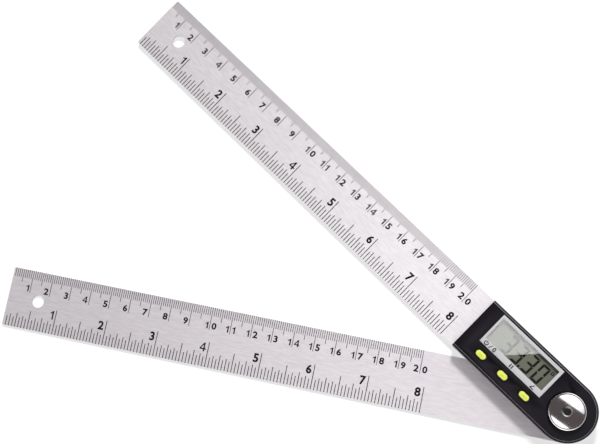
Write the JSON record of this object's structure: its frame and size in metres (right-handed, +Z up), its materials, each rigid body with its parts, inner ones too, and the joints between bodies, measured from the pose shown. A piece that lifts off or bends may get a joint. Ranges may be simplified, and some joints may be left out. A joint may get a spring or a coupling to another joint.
{
  "type": "digital angle finder",
  "caption": "Pocket angle finder: two graduated steel rule arms on one pivot, a black display unit with push buttons over the pivot end, and a round chromed locking knob.",
  "frame": {"origin": "pivot axis at the resting face of the lower arm", "axes": "+X along the display arm to its free end, +Z up towards the reader; the lower arm opens from +X towards +Y"},
  "size_m": [0.2804, 0.1704, 0.0134],
  "materials": {
    "stainless": "brushed along the blade, satin",
    "housing_black": "satin moulded plastic",
    "bezel_silver": "satin silver",
    "window_clear": "clear, polished",
    "display_glass": "reflective liquid crystal panel",
    "key_green": "translucent yellow-green",
    "chrome": "polished chrome plating",
    "steel": "turned steel",
    "brass": "turned brass",
    "board_green": "solder mask over glass laminate",
    "inner_black": "matte black plastic",
    "washer_white": "slippery plastic",
    "rubber_black": "matte",
    "screw_dark": "blackened steel"
  },
  "bodies": {
    "display_arm": {"upper_blade": "stainless", "pivot_bush": "brass", "front_housing": "housing_black", "knob_bush": "brass", "knob_washer": "washer_white", "display_bezel": "bezel_silver", "display_window": "window_clear", "display_panel": "display_glass", "contact_strip": "rubber_black", "foam_strip": "rubber_black", "circuit_board": "board_green", "potted_chip": "inner_black", "board_screws": "screw_dark", "dome_switches": "steel", "cell_holder": "inner_black", "coin_cell": "steel", "cell_spring": "brass", "cell_clip": "brass", "housing_screws": "screw_dark"},
    "lower_arm": {"lower_blade": "stainless", "blade_washer": "brass", "pivot_shaft": "steel", "rotor_hub": "brass", "encoder_rotor": "board_green", "knob_screw": "chrome"},
    "locking_knob": {"lock_knob": "chrome"},
    "near_key": {"button_near": "key_green"},
    "middle_key": {"button_middle": "key_green"},
    "far_key": {"button_far": "key_green"},
    "cell_lid": {"battery_lid": "inner_black"}
  },
  "joints": [
    {"name": "arm_pivot", "type": "hinge", "parent": "display_arm", "child": "lower_arm", "pos_m": [0, 0, 0], "axis": [0, 0, 1], "continuous": true},
    {"name": "knob_turn", "type": "hinge", "parent": "lower_arm", "child": "locking_knob", "pos_m": [0, 0, 0], "axis": [0, 0, 1], "range_deg": [0, 180]},
    {"name": "near_key_press", "type": "slide", "parent": "display_arm", "child": "near_key", "axis": [0, 0, -1], "range_m": [0, 0.0004], "stiffness_N_per_m": 1500, "springref_m": -0.0001},
    {"name": "middle_key_press", "type": "slide", "parent": "display_arm", "child": "middle_key", "axis": [0, 0, -1], "range_m": [0, 0.0004], "stiffness_N_per_m": 1500, "springref_m": -0.0001},
    {"name": "far_key_press", "type": "slide", "parent": "display_arm", "child": "far_key", "axis": [0, 0, -1], "range_m": [0, 0.0004], "stiffness_N_per_m": 1500, "springref_m": -0.0001},
    {"name": "lid_turn", "type": "hinge", "parent": "display_arm", "child": "cell_lid", "pos_m": [0.0418, 0, 0.002], "axis": [0, 0, -1], "range_deg": [0, 35]}
  ]
}
